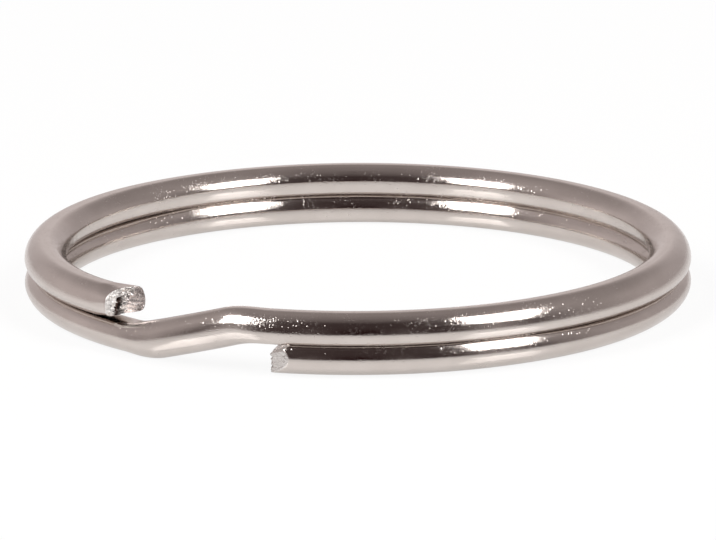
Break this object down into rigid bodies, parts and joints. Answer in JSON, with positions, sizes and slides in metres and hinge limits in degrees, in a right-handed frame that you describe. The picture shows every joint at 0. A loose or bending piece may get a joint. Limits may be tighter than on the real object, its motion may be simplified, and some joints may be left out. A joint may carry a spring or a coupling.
{
  "type": "split key ring",
  "caption": "Split key ring of nickel-plated spring wire: flat turns that lie on each other, joined by a short crossing between the wire's sheared tips.",
  "frame": {"origin": "on the ring's axis, in the plane of the face that it lies on", "axes": "+Z along the ring's axis, up from the face that it lies on; -Y towards the front, where the wire crosses from the upper turn to the lower one just to the left of the middle; +X to the right"},
  "size_m": [0.03, 0.03, 0.0029],
  "materials": {
    "nickel_plate": "bright nickel plate on spring-steel wire, a little warm in tone, with fine pits and faint drawing lines along the wire"
  },
  "bodies": {
    "root": {"split_ring": "nickel_plate"}
  },
  "joints": []
}
